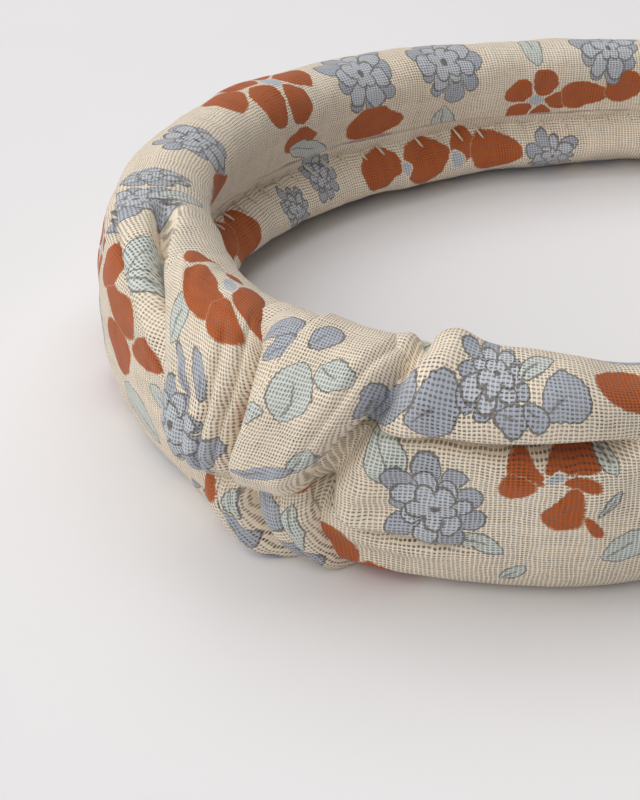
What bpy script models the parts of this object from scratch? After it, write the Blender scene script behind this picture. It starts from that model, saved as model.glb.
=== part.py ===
"""A knotted cotton headband: a sprung plastic hoop, padded, in a fabric sleeve that is knotted at the crown.

The band lies on its lower edge. +Z is up across the band, the knot faces -Y and the open ends face +Y.
Every piece is laid out along the hoop line, in three directions: `s` along the line from the crown (positive
on the right, +X), `u` outwards from the line and `v` upwards from the table.
"""

import math

import bmesh
import bpy
from mathutils import Vector

# Hoop line, seen from above. Metres and radians.
HALF_LENGTH = 0.205  # crown to tip along the line
TIP_TURN = math.radians(133)  # how far the line has turned when it reaches a tip
BEND_FADE = 0.81  # share of the crown's bend that has gone at the tip

# Outside of the sleeve.
ARM_THICKNESS = 0.0175
ARM_HEIGHT = 0.0365
TIP_THICKNESS = 0.0115
TIP_HEIGHT = 0.0265
CROWN_THICKNESS = 0.0160
CROWN_HEIGHT = 0.0330
SQUARENESS = 2.5  # superellipse exponent of the section: 2 is an ellipse
REST_FLAT = 0.0010  # how far the round underside is pressed flat
SLEEVE_WALL = 0.0012
GROOVE_DEPTH = 0.0030  # fold along the inner face, where the sleeve's edges meet
TIP_GROOVE_DEPTH = 0.0015
TIP_FOLD_LENGTH = 0.0040

# Plastic core.
CORE_THICKNESS = 0.0018
CORE_HEIGHT = 0.0240
CORE_TIP_HEIGHT = 0.0150
CORE_INSET = 0.0033  # sleeve's inner face to the core, at the knot and at the tip: deeper than the groove
CORE_TIP_INSET = 0.0018
CORE_END_SPACE = 0.0020  # from the core's end to the closed tip

# Bending of the core beside the knot.
FLEX_AT = 0.0330  # crown to the bend, along the line
MOST_SPREAD = math.radians(16)

# Knot.
WRAP_FRONT = 0.0062  # thickness of the wrap over the upper front
WRAP_TOP = 0.0035
WRAP_BACK = 0.0022
WRAP_UNDER = 0.0012
WRAP_TOP_LEFT = -0.0270  # edges of the wrap along the line, at the top and at the pinch
WRAP_TOP_RIGHT = 0.0285
WRAP_PINCH_LEFT = -0.0060
WRAP_PINCH_RIGHT = 0.0170
WRAP_BEHIND = 0.0200  # half the wrap's width on the inner face
HEAD_FLAT = 0.0005  # how far the wrap's inner face is pressed flat
STRAND_THICKNESS = 0.0054
STRAND_HEIGHT = 0.0166
STRAND_MEETING = -0.0075  # where the two lower strands meet

# Stitching.
THREAD_RADIUS = 0.00030
STITCH_LENGTH = 0.0026
STITCH_PITCH = 0.0085
TACK_RUN = 0.0200
TACK_PITCH = 0.0040
TACK_RISE = 0.0090  # above the middle of the band, clear of the flat inner face

CLEARANCE = 0.0003  # between pieces that touch
SECTION_POINTS = 20
ARM_STATIONS = 19
CROWN_STATIONS = 10
STRAND_POINTS = 10


def hoop_line(steps_per_metre=20000):
    """Return a function of s that gives the line's point and its outward direction, both from above."""
    crown_bend = TIP_TURN / (HALF_LENGTH * (1 - BEND_FADE / 3))
    count = int(HALF_LENGTH * 1.2 * steps_per_metre)
    step = 1 / steps_per_metre
    places = [(0.0, 0.0, 0.0)]
    for index in range(count):
        x, y, heading = places[-1]
        middle = (index + 0.5) * step
        turn = crown_bend * (1 - BEND_FADE * (middle / HALF_LENGTH) ** 2) * step
        halfway = heading + turn / 2
        places.append((x + step * math.cos(halfway), y + step * math.sin(halfway), heading + turn))

    def at(s):
        place = abs(s) * steps_per_metre
        index = min(int(place), count - 1)
        share = place - index
        x, y, heading = [a + (b - a) * share for a, b in zip(places[index], places[index + 1])]
        side = -1 if s < 0 else 1
        return Vector((side * x, y, 0)), Vector((side * math.sin(heading), -math.cos(heading), 0))

    return at


hoop = hoop_line()


def on_hoop(s, u, v):
    point, outward = hoop(s)
    return point + outward * u + Vector((0, 0, v))


def blend(start, end, share):
    return start + (end - start) * min(max(share, 0), 1)


def arm_share(s):
    """0 where an arm leaves the knot and 1 at its tip."""
    return (abs(s) - FLEX_AT) / (HALF_LENGTH - FLEX_AT)


def thickness(s):
    if abs(s) < FLEX_AT:
        return blend(CROWN_THICKNESS, ARM_THICKNESS, abs(s) / FLEX_AT)
    return blend(ARM_THICKNESS, TIP_THICKNESS, arm_share(s))


def height(s):
    return CROWN_HEIGHT if abs(s) <= FLEX_AT else blend(ARM_HEIGHT, TIP_HEIGHT, arm_share(s))


def groove(s):
    """Depth of the fold on the inner face: none at the crown, which the wrap covers."""
    if abs(s) < FLEX_AT:
        return 0
    return blend(GROOVE_DEPTH, TIP_GROOVE_DEPTH, arm_share(s))


def lift(s):
    """Height of the sleeve above the table: the wrap passes under it at the crown."""
    return WRAP_UNDER + CLEARANCE if abs(s) <= FLEX_AT else 0


def core_back(s):
    """Place of the core's inner face, which the groove's wall doesn't reach."""
    return -thickness(s) / 2 + SLEEVE_WALL + blend(CORE_INSET, CORE_TIP_INSET, arm_share(s))


def round_point(angle, half_thickness, half_height):
    power = 2 / SQUARENESS
    cosine, sine = math.cos(angle), math.sin(angle)
    u = math.copysign(abs(cosine) ** power, cosine) * half_thickness
    v = math.copysign(abs(sine) ** power, sine) * half_height
    return u, v


def angles(count):
    return [2 * math.pi * index / count for index in range(count)]


def sleeve_point(s, angle, inset):
    """(u, v) on the sleeve at `inset` from its outside, pressed flat above and below."""
    half_height = height(s) / 2 - inset
    u, v = round_point(angle, thickness(s) / 2 - inset, half_height + REST_FLAT)
    return u, min(max(v, -half_height), half_height) + height(s) / 2 + lift(s)


def sleeve_ring(s, inset):
    """Section of the sleeve, folded along the middle of its inner face."""
    ring = []
    for index, angle in enumerate(angles(SECTION_POINTS)):
        u, v = sleeve_point(s, angle, inset)
        if index == SECTION_POINTS // 2:
            u += groove(s)
        ring.append((s, u, v))
    return ring


def padding_ring(s):
    """Section of the padding: it fills the sleeve in front of the core."""
    inset = SLEEVE_WALL + CLEARANCE
    back = core_back(s) + CORE_THICKNESS + CLEARANCE
    ring = []
    for angle in angles(SECTION_POINTS):
        u, v = round_point(angle, thickness(s) / 2 - inset, height(s) / 2 - inset)
        ring.append((s, max(u, back), v + height(s) / 2 + lift(s)))
    return ring


def core_ring(s):
    """Rectangular section of the core, chamfered on its four long edges."""
    half = blend(CORE_HEIGHT, CORE_TIP_HEIGHT, arm_share(s)) / 2
    back, front = core_back(s), core_back(s) + CORE_THICKNESS
    chamfer = CORE_THICKNESS / 4
    middle = height(s) / 2 + lift(s)
    corners = [
        (back + chamfer, -half),
        (front - chamfer, -half),
        (front, -half + chamfer),
        (front, half - chamfer),
        (front - chamfer, half),
        (back + chamfer, half),
        (back, half - chamfer),
        (back, -half + chamfer),
    ]
    return [(s, u, middle + v) for u, v in corners]


def wrap_thickness(angle):
    """The wrap is thick over the upper front, thin below the pinch, where the strands lie over it."""
    front, up = math.cos(angle), math.sin(angle)
    if up >= 0:
        side = WRAP_FRONT if front > 0 else WRAP_BACK
        thick = side * front**2 + WRAP_TOP * up**2
    else:
        side = WRAP_UNDER if front > 0 else WRAP_BACK
        thick = side * front**2 + WRAP_UNDER * up**2
    at_pinch = abs(angle) < math.pi / SECTION_POINTS
    return WRAP_UNDER if at_pinch else thick


def wrap_point(s, angle, outset, behind):
    """A point `outset` from the sleeve's surface, no further inwards than `behind` and not under the table."""
    u, v = sleeve_point(s, angle, 0)
    normal = Vector((math.cos(angle) * height(s), math.sin(angle) * thickness(s))).normalized()
    u += normal.x * outset
    v += normal.y * outset
    return s, max(u, -thickness(s) / 2 - behind), max(v, 0)


def wrap_edges(angle):
    """Left and right edges of the wrap: wide at the top, narrow at the pinch, and even behind the core."""
    up = math.sin(angle)
    if math.cos(angle) < -1e-6:
        share = 2 * up - 1
        return blend(-WRAP_BEHIND, WRAP_TOP_LEFT, share), blend(WRAP_BEHIND, WRAP_TOP_RIGHT, share)
    share = (1 + up) / 2
    return blend(WRAP_PINCH_LEFT, WRAP_TOP_LEFT, share), blend(WRAP_PINCH_RIGHT, WRAP_TOP_RIGHT, share)


def wrap_rings():
    """Outer and inner rings of the wrap."""
    outer, inner = [], []
    for index in range(CROWN_STATIONS):
        share = index / (CROWN_STATIONS - 1)
        outside, inside = [], []
        rounding = 1 - 0.55 * abs(2 * share - 1) ** 3
        for angle in angles(SECTION_POINTS):
            left, right = wrap_edges(angle)
            s = blend(left, right, share)
            outset = CLEARANCE + wrap_thickness(angle) * rounding
            head_face = CLEARANCE + WRAP_BACK * rounding - HEAD_FLAT
            outside.append(wrap_point(s, angle, outset, head_face))
            inside.append(wrap_point(s, angle, CLEARANCE, CLEARANCE))
        outer.append(outside)
        inner.append(inside)
    return outer, inner


def strand_rings(start, end):
    """Oval sections of a lower strand, which tapers at both ends and lies on the wrap's thin lower part."""
    rings = []
    for index in range(CROWN_STATIONS):
        share = index / (CROWN_STATIONS - 1)
        s = blend(start, end, share)
        size = 1 - 0.45 * abs(2 * share - 1) ** 3
        half_thickness, half_height = STRAND_THICKNESS / 2 * size, STRAND_HEIGHT / 2 * size
        wrap_face = thickness(s) / 2 + CLEARANCE + WRAP_UNDER
        seat = wrap_face + CLEARANCE + STRAND_THICKNESS / 2
        ring = []
        for angle in angles(STRAND_POINTS):
            u, v = round_point(angle, half_thickness, half_height)
            ring.append((s, seat + u, STRAND_HEIGHT / 2 + CLEARANCE + v))
        rings.append(ring)
    return rings


def tip_rings(side):
    """Sections of the turned-in end, which closes to a rounded edge."""
    rings = []
    for index in range(4):
        share = index / 3
        s = side * (HALF_LENGTH - TIP_FOLD_LENGTH * (1 - share))
        size = math.sqrt(1 - (0.85 * share) ** 2)
        middle = height(s) / 2
        rings.append([(s, u * size, middle + (v - middle) * size) for _, u, v in sleeve_ring(s, 0)])
    return rings


def material(name, colour, roughness, metallic=0.0):
    made = bpy.data.materials.new(name)
    made.use_nodes = True
    shader = made.node_tree.nodes["Principled BSDF"]
    shader.inputs["Base Color"].default_value = (*colour, 1)
    shader.inputs["Roughness"].default_value = roughness
    shader.inputs["Metallic"].default_value = metallic
    made.diffuse_color = (*colour, 1)
    return made


def add_piece(name, mesh, look, pivot):
    """Finish a bmesh in band coordinates as an object whose origin is its joint's pivot."""
    bmesh.ops.recalc_face_normals(mesh, faces=mesh.faces)
    bmesh.ops.translate(mesh, verts=mesh.verts, vec=-pivot.matrix_world.translation)
    data = bpy.data.meshes.new(name)
    mesh.to_mesh(data)
    mesh.free()
    data.materials.append(look)
    data.shade_smooth()
    data.set_sharp_from_angle(angle=math.radians(40))
    piece = bpy.data.objects.new(name, data)
    piece.parent = pivot
    bpy.context.scene.collection.objects.link(piece)
    return piece


def side_faces(mesh, rings):
    for ring, following in zip(rings, rings[1:]):
        for index in range(len(ring)):
            after = (index + 1) % len(ring)
            mesh.faces.new((ring[index], ring[after], following[after], following[index]))


def add_rings(mesh, rings):
    return [[mesh.verts.new(on_hoop(*place)) for place in ring] for ring in rings]


def loft(name, rings, look, pivot):
    """A solid through closed sections, with flat ends."""
    mesh = bmesh.new()
    made = add_rings(mesh, rings)
    side_faces(mesh, made)
    mesh.faces.new(made[0])
    mesh.faces.new(made[-1])
    return add_piece(name, mesh, look, pivot)


def tube(name, outer, inner, look, pivot):
    """A hollow run of sections, open at both ends."""
    mesh = bmesh.new()
    outside, inside = add_rings(mesh, outer), add_rings(mesh, inner)
    side_faces(mesh, outside)
    side_faces(mesh, inside)
    for around, hole in ((outside[0], inside[0]), (outside[-1], inside[-1])):
        side_faces(mesh, [around, hole])
    return add_piece(name, mesh, look, pivot)


def thread(name, places, look, pivot):
    """One sewing thread through the given (s, u, v) places, as a thin tube with closed ends."""
    data = bpy.data.curves.new(name, "CURVE")
    data.dimensions = "3D"
    data.bevel_depth = THREAD_RADIUS
    data.bevel_resolution = 1
    data.use_fill_caps = True
    spline = data.splines.new("POLY")
    spline.points.add(len(places) - 1)
    origin = pivot.matrix_world.translation
    for point, place in zip(spline.points, places):
        point.co = (*(on_hoop(*place) - origin), 1)
    data.materials.append(look)
    piece = bpy.data.objects.new(name, data)
    piece.parent = pivot
    bpy.context.scene.collection.objects.link(piece)
    return piece


def zigzag(start, end, pitch, middle, seat):
    """Slanting stitches from `start` to `end` along the line: each rises across the seam and the next falls."""
    count = 2 * int(abs(end - start) / pitch)
    places = []
    for index in range(count + 1):
        s = blend(start, end, index / count)
        rise = STITCH_LENGTH / 2 if index % 2 else -STITCH_LENGTH / 2
        places.append((s, seat(s), middle(s) + rise))
    return places


def stations(start, end, count):
    return [blend(start, end, index / (count - 1)) for index in range(count)]


def pivot_at(name, location, parent=None):
    pivot = bpy.data.objects.new(name, None)
    pivot.empty_display_size = 0.01
    pivot.location = location
    pivot.parent = parent
    bpy.context.scene.collection.objects.link(pivot)
    bpy.context.view_layer.update()
    return pivot


def neutral(s):
    """Middle of the core's thickness, which neither stretches nor shortens when it bends."""
    return core_back(s) + CORE_THICKNESS / 2


def core_gap():
    return CORE_THICKNESS / 2 * math.sin(MOST_SPREAD) + CLEARANCE


def sleeve_gap():
    """Space that the arm's padding and sleeve need beside the bend as the arm spreads."""
    reach = thickness(FLEX_AT) / 2 - neutral(FLEX_AT + CLEARANCE)
    return reach * math.sin(MOST_SPREAD) + CLEARANCE


def build_crown(root, looks):
    end = FLEX_AT - CLEARANCE
    places = stations(-end, end, CROWN_STATIONS)
    core_end = FLEX_AT - core_gap() / 2
    core_places = stations(-core_end, core_end, CROWN_STATIONS)
    loft("core_crown", [core_ring(s) for s in core_places], looks["plastic"], root)
    loft("padding_crown", [padding_ring(s) for s in places], looks["wadding"], root)
    outer = [sleeve_ring(s, 0) for s in places]
    inner = [sleeve_ring(s, SLEEVE_WALL) for s in places]
    tube("sleeve_crown", outer, inner, looks["gauze"], root)
    tube("knot_wrap", *wrap_rings(), looks["gauze"], root)
    strand_left = strand_rings(-end, STRAND_MEETING - CLEARANCE)
    strand_right = strand_rings(STRAND_MEETING + CLEARANCE, end)
    loft("knot_strand_left", strand_left, looks["gauze"], root)
    loft("knot_strand_right", strand_right, looks["gauze"], root)
    wrap_face = CROWN_THICKNESS / 2 + CLEARANCE + WRAP_BACK - HEAD_FLAT
    behind = -(wrap_face + CLEARANCE + THREAD_RADIUS)
    tacks = zigzag(
        -TACK_RUN / 2,
        TACK_RUN / 2,
        TACK_PITCH,
        lambda s: lift(s) + height(s) / 2 + TACK_RISE,
        lambda s: behind,
    )
    thread("knot_tacks", tacks, looks["thread"], root)


def build_arm(name, side, root, looks):
    pivot = pivot_at(f"{name}_flex_axis", on_hoop(side * FLEX_AT, neutral(FLEX_AT + CLEARANCE), 0), root)
    core_places = stations(
        side * (FLEX_AT + core_gap() / 2),
        side * (HALF_LENGTH - TIP_FOLD_LENGTH - CORE_END_SPACE),
        ARM_STATIONS,
    )
    loft(f"core_{name}", [core_ring(s) for s in core_places], looks["plastic"], pivot)
    start = side * (FLEX_AT + sleeve_gap())
    sleeve_end = side * (HALF_LENGTH - TIP_FOLD_LENGTH - CLEARANCE)
    padding_end = sleeve_end - side * CORE_END_SPACE
    padding_places = stations(start, padding_end, ARM_STATIONS)
    loft(f"padding_{name}", [padding_ring(s) for s in padding_places], looks["wadding"], pivot)
    places = stations(start, sleeve_end, ARM_STATIONS)
    outer = [sleeve_ring(s, 0) for s in places]
    inner = [sleeve_ring(s, SLEEVE_WALL) for s in places]
    tube(f"sleeve_{name}", outer, inner, looks["gauze"], pivot)
    loft(f"tip_fold_{name}", tip_rings(side), looks["gauze"], pivot)
    margin = side * STITCH_PITCH
    seam = zigzag(start + margin, sleeve_end - margin, STITCH_PITCH, lambda s: height(s) / 2, stitch_seat)
    thread(f"seam_stitches_{name}", seam, looks["thread"], pivot)


def stitch_seat(s):
    """Place of a stitch that spans the groove, its two ends just clear of the groove's sloping sides."""
    lip_rise = round_point(math.pi - 2 * math.pi / SECTION_POINTS, thickness(s) / 2, height(s) / 2)[1]
    slope = groove(s) / lip_rise
    depth_at_ends = groove(s) - slope * STITCH_LENGTH / 2
    return -thickness(s) / 2 + depth_at_ends - THREAD_RADIUS - CLEARANCE


def centre_on_table(root):
    """Move the whole band so that the middle of its box's underside is the origin."""
    bpy.context.view_layer.update()
    corners = []
    for piece in root.children_recursive:
        if piece.type == "MESH":
            corners += [piece.matrix_world @ vertex.co for vertex in piece.data.vertices]
    lowest = Vector([min(corner[axis] for corner in corners) for axis in range(3)])
    highest = Vector([max(corner[axis] for corner in corners) for axis in range(3)])
    middle = (lowest + highest) / 2
    root.location = (-middle.x, -middle.y, -lowest.z)


def main():
    for old in list(bpy.data.objects):
        bpy.data.objects.remove(old, do_unlink=True)
    looks = {
        "gauze": material("cream_double_gauze", (0.74, 0.69, 0.60), 0.90),
        "plastic": material("black_band_plastic", (0.03, 0.03, 0.03), 0.45),
        "wadding": material("white_wadding", (0.85, 0.85, 0.83), 0.95),
        "thread": material("cream_thread", (0.70, 0.64, 0.54), 0.70),
    }
    root = pivot_at("headband", (0, 0, 0))
    build_crown(root, looks)
    build_arm("left", -1, root, looks)
    build_arm("right", 1, root, looks)
    centre_on_table(root)


main()
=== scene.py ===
"""Looks of the knotted headband: printed double gauze drawn over a padded hoop and tied at the crown.

Shapes are worked out in millimetres along the hoop line: `s` runs along it from the crown (positive on
the right arm), an angle goes round the band's section (0 in front, 90 on top, 180 on the inner face),
and `rise` is how far the cloth stands off the section.
"""

import math

import bpy
import numpy as np
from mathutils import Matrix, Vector


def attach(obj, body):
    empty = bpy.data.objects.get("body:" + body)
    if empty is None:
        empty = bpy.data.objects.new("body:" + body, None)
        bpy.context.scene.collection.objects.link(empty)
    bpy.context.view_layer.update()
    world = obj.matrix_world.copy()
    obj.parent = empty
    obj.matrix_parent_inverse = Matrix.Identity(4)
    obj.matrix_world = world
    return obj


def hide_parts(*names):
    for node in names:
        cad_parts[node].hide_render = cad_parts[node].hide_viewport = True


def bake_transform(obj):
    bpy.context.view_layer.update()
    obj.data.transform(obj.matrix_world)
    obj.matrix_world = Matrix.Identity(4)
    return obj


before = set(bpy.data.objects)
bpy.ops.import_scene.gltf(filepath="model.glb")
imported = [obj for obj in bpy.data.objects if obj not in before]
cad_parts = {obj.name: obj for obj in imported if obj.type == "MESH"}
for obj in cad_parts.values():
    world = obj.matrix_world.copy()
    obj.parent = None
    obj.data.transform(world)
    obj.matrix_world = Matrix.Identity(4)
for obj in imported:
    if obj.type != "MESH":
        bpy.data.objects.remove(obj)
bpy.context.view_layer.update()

MM = 0.001

# Hoop line, as in the CAD part.
HALF_LENGTH = 205.0
TIP_TURN = math.radians(133)
BEND_FADE = 0.81
CROWN_Y = -71.568  # where the line crosses the middle of the knot
FLEX_AT = 33.0

# Section of the padded sleeve.
CROWN_THICKNESS = 17.5
ARM_THICKNESS = 17.6
TIP_THICKNESS = 11.8
CROWN_HEIGHT = 35.6
ARM_HEIGHT = 36.2
TIP_HEIGHT = 26.5
SQUARENESS = 2.5
TABLE_GAP = 0.12  # the cloth's underside, above the table

THREAD_PITCH = (0.64, 0.43)  # between warp threads and between weft threads
CLOTH_THICKNESS = 0.45
FINE = 0.6  # mesh spacing near the knot
COARSE = 1.3  # mesh spacing along the arms
FINE_LENGTH = 66.0  # of a sleeve, from the crown
NEAR_PRINT = 60.0  # the left sleeve's length that has the near print, from the crown
TIP_ROUND = 7.0  # length over which a tip closes
SLEEVE_SEED = {-1: 8, 1: 5}  # of the unevenness of the left and right sleeve

# Sewn fold along a sleeve's inner face.
SEAM_DROP = 3.4  # the seam's line below the middle, near the knot
SEAM_DEPTH = 2.4

# What is inside the sleeve.
STRIP_INSET = 3.3  # of the plastic strip from the sleeve's inner face, at the crown
STRIP_TIP_INSET = 1.8
STRIP_THICKNESS = 1.8
STRIP_GAP = 0.5  # between the strip and the wadding
WADDING_UNDER = 1.7  # from the cloth's upper face to the wadding
WADDING_SHORT = 4.0  # of the tip

# Sewing thread.
THREAD_RADIUS = 0.24
THREAD_SIDES = 8
STITCH_PITCH = 5.0
FIRST_STITCH = 26.0  # from the crown


# ---------------------------------------------------------------- hoop line and section


def smooth(x):
    x = np.clip(x, 0, 1)
    return x * x * (3 - 2 * x)


def between(x, start, end, soft=4.0):
    """1 from start to end, with soft shoulders."""
    return smooth((x - start) / soft + 0.5) * smooth((end - x) / soft + 0.5)


def bell(x, width):
    return np.exp(-((x / width) ** 2))


def key(x, *pairs):
    """Smooth curve through (place, value) pairs."""
    places, values = zip(*pairs)
    return cubic(np.asarray(places, float), np.asarray(values, float), np.asarray(x, float))


def cubic(places, values, x):
    """Catmull-Rom curve through values at uneven places. Values may be rows of several numbers."""
    slopes = np.gradient(values, places, axis=0)
    x = np.clip(x, places[0], places[-1])
    index = np.clip(np.searchsorted(places, x, side="right") - 1, 0, len(places) - 2)
    step = places[index + 1] - places[index]
    t = (x - places[index]) / step
    if values.ndim > 1:
        t, step = t[..., None], step[..., None]
    a, b = values[index], values[index + 1]
    da, db = slopes[index] * step, slopes[index + 1] * step
    return a + da * t + (3 * (b - a) - 2 * da - db) * t**2 + (2 * (a - b) + da + db) * t**3


def ripple(x, y, seed, longest, shortest, count=9):
    """Soft unevenness between -1 and 1: a few crossing waves with settled phases."""
    draw = np.random.default_rng(seed)
    total = 0
    for _ in range(count):
        wave = 2 * math.pi / draw.uniform(shortest, longest)
        way, phase = draw.uniform(0, math.pi), draw.uniform(0, 2 * math.pi)
        total = total + np.sin(wave * (x * math.cos(way) + y * math.sin(way)) + phase)
    return total / math.sqrt(count) / 1.5


def hoop_table():
    bend = TIP_TURN / (HALF_LENGTH * (1 - BEND_FADE / 3))
    run = np.linspace(0, HALF_LENGTH * 1.03, 4001)
    turn = bend * (run - BEND_FADE * run**3 / (3 * HALF_LENGTH**2))
    middle = (turn[1:] + turn[:-1]) / 2
    x = np.concatenate([[0], np.cumsum(np.cos(middle))]) * run[1]
    y = np.concatenate([[0], np.cumsum(np.sin(middle))]) * run[1]
    return run, turn, x, y


HOOP = hoop_table()


def on_hoop(s, u, v):
    """Points in space, in millimetres, from places along the line, outwards from it and up."""
    s, u, v = np.broadcast_arrays(np.asarray(s, float), u, v)
    run, turn, x, y = HOOP
    side, far = np.where(s < 0, -1, 1), np.abs(s)
    angle = np.interp(far, run, turn)
    px = side * (np.interp(far, run, x) + u * np.sin(angle))
    py = CROWN_Y + np.interp(far, run, y) - u * np.cos(angle)
    return np.stack([px, py, v], -1)


def arm_share(s):
    return np.clip((np.abs(s) - FLEX_AT) / (HALF_LENGTH - FLEX_AT), 0, 1)


def thickness(s):
    near = smooth(np.abs(s) / FLEX_AT)
    crown = CROWN_THICKNESS + (ARM_THICKNESS - CROWN_THICKNESS) * near
    return crown + (TIP_THICKNESS - ARM_THICKNESS) * arm_share(s)


def height(s):
    near = smooth(np.abs(s) / FLEX_AT)
    crown = CROWN_HEIGHT + (ARM_HEIGHT - CROWN_HEIGHT) * near
    return crown + (TIP_HEIGHT - ARM_HEIGHT) * arm_share(s)


def round_power(value, power):
    return np.sign(value) * np.abs(value) ** power


def section(s, angle, rise=0.0):
    """(u, v) on the band's outline at an angle, standing off it by `rise`."""
    a, b = thickness(s) / 2, height(s) / 2
    cosine, sine = np.cos(angle), np.sin(angle)
    power = 2 / SQUARENESS
    u, v = a * round_power(cosine, power), b * round_power(sine, power)
    nu = round_power(cosine, 2 - power) / a
    nv = round_power(sine, 2 - power) / b
    length = np.hypot(nu, nv)
    return u + nu / length * rise, b + v + nv / length * rise


def on_band(s, angle, rise=0.0):
    u, v = section(s, angle, rise)
    return on_hoop(s, u, np.maximum(v, 0) + TABLE_GAP)


def around_table():
    """Arc length round a mean section, from the front, against the angle."""
    angle = np.linspace(-math.pi, math.pi, 2001)
    u, v = section(np.full_like(angle, 70.0), angle)
    step = np.hypot(np.diff(u), np.diff(v))
    arc = np.concatenate([[0], np.cumsum(step)])
    return angle, arc - arc[1000]


AROUND = around_table()
GIRTH = AROUND[1][-1] - AROUND[1][0]


def arc_at(degrees):
    return float(np.interp(math.radians(degrees), *AROUND))


def angle_at(arc):
    """The angle at an arc length, which may run on past the middle of the inner face."""
    return np.interp(np.mod(arc + GIRTH / 2, GIRTH) - GIRTH / 2, AROUND[1], AROUND[0])


def key_degrees(s, *pairs):
    """A line over the sleeve, through (place along it, degrees round it) pairs, as arc lengths."""
    return key(s, *[(place, arc_at(degrees)) for place, degrees in pairs])


# ---------------------------------------------------------------- meshes


def grid_mesh(name, points, cloth, surface, closed=False):
    """A mesh through a grid of points, carrying each point's place on the flat cloth, in millimetres."""
    rows, columns = points.shape[:2]
    index = np.arange(rows * columns).reshape(rows, columns)
    following = np.roll(index, -1, axis=1) if closed else index[:, 1:]
    current = index if closed else index[:, :-1]
    quads = np.stack([current[:-1], following[:-1], following[1:], current[1:]], -1).reshape(-1, 4)
    return smooth_piece(name, points.reshape(-1, 3), quads.tolist(), cloth.reshape(-1, 2), surface)


def smooth_piece(name, points, faces, cloth, surface):
    """An object whose points carry their place on the flat cloth in the attribute `cloth`."""
    mesh = bpy.data.meshes.new(name)
    mesh.from_pydata((points * MM).tolist(), [], faces)
    flat = np.zeros((len(points), 3), np.float32)
    flat[:, :2] = cloth
    attribute = mesh.attributes.new("cloth", "FLOAT_VECTOR", "POINT")
    attribute.data.foreach_set("vector", flat.ravel())
    mesh.materials.append(surface)
    mesh.shade_smooth()
    piece = bpy.data.objects.new(name, mesh)
    bpy.context.scene.collection.objects.link(piece)
    return piece


def as_cloth(piece, outside_in=False):
    """Gives a sheet its thickness, inwards from the face that shows."""
    if outside_in:
        piece.data.flip_normals()
    doubled = piece.modifiers.new("cloth", "SOLIDIFY")
    doubled.thickness, doubled.offset = CLOTH_THICKNESS * MM, -1
    return piece


def spaced(start, end, spacing):
    return np.linspace(start, end, max(int(round(abs(end - start) / spacing)), 2) + 1)


# ---------------------------------------------------------------- shader expressions


# Sockets of the Mix node that mixes colours, by number.
FACTOR, COLOUR_A, COLOUR_B, COLOUR_RESULT = 0, 6, 7, 2


class Value:
    """A node's output that can be used in arithmetic."""

    def __init__(self, shader, socket):
        self.shader, self.socket = shader, socket

    def math(self, operation, *others):
        values = dict(enumerate((self, *others)))
        return self.shader.node("ShaderNodeMath", {"operation": operation}, values)

    def __add__(self, other):
        return self.math("ADD", other)

    def __radd__(self, other):
        return self.math("ADD", other)

    def __sub__(self, other):
        return self.math("SUBTRACT", other)

    def __rsub__(self, other):
        return self.shader.node("ShaderNodeMath", {"operation": "SUBTRACT"}, {0: other, 1: self})

    def __mul__(self, other):
        return self.math("MULTIPLY", other)

    def __rmul__(self, other):
        return self.math("MULTIPLY", other)

    def __truediv__(self, other):
        return self.math("DIVIDE", other)

    def __abs__(self):
        return self.math("ABSOLUTE")

    def over(self, start, end):
        """0 up to start and 1 from end, with a soft step between."""
        values = {"Value": self, "From Min": start, "From Max": end}
        return self.shader.node("ShaderNodeMapRange", {"interpolation_type": "SMOOTHSTEP"}, values)


class Shader:
    """A node tree, with one method that adds any node."""

    def __init__(self, tree):
        self.tree = tree

    def set(self, node, name, value):
        socket = node.inputs[name]
        if isinstance(value, Value):
            self.tree.links.new(value.socket, socket)
        else:
            socket.default_value = value

    def node(self, kind, settings, values, output=0):
        made = self.tree.nodes.new(kind)
        for name, setting in settings.items():
            setattr(made, name, setting)
        for name, value in values.items():
            self.set(made, name, value)
        return Value(self, made.outputs[output])

    def parts(self, vector):
        made = self.tree.nodes.new("ShaderNodeSeparateXYZ")
        self.set(made, 0, vector)
        return [Value(self, made.outputs[index]) for index in range(3)]

    def vector(self, x, y, z=0.0):
        return self.node("ShaderNodeCombineXYZ", {}, {0: x, 1: y, 2: z})

    def mix(self, share, first, second):
        values = {FACTOR: share, COLOUR_A: first, COLOUR_B: second}
        return self.node("ShaderNodeMix", {"data_type": "RGBA"}, values, COLOUR_RESULT)

    def scale(self, colour, amount):
        values = {0: colour, "Scale": amount}
        return self.node("ShaderNodeVectorMath", {"operation": "SCALE"}, values)

    def noise(self, vector, scale, detail=2.0):
        values = {"Vector": vector, "Scale": scale, "Detail": detail}
        return self.node("ShaderNodeTexNoise", {}, values)


def material(name, build):
    """A material whose Principled shader takes the inputs that `build` gives."""
    made = bpy.data.materials.new(name)
    made.use_nodes = True
    shader = Shader(made.node_tree)
    surface = made.node_tree.nodes["Principled BSDF"]
    for socket, value in build(shader).items():
        shader.set(surface, socket, value)
    return made


def node_group(name, inputs, build):
    """A node group that gives a colour. `build` takes a value for each input."""
    group = bpy.data.node_groups.new(name, "ShaderNodeTree")
    for socket, kind in inputs:
        group.interface.new_socket(socket, in_out="INPUT", socket_type=kind)
    group.interface.new_socket("Colour", in_out="OUTPUT", socket_type="NodeSocketColor")
    shader = Shader(group)
    start = group.nodes.new("NodeGroupInput")
    values = [Value(shader, socket) for socket in list(start.outputs)[: len(inputs)]]
    shader.set(group.nodes.new("NodeGroupOutput"), "Colour", build(shader, *values))
    return group


def srgb(red, green, blue):
    """Linear colour of 0-255 screen values."""
    channels = []
    for value in (red, green, blue):
        value /= 255
        channels.append(value / 12.92 if value < 0.04045 else ((value + 0.055) / 1.055) ** 2.4)
    return (*channels, 1.0)


# ---------------------------------------------------------------- printed double gauze

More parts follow.
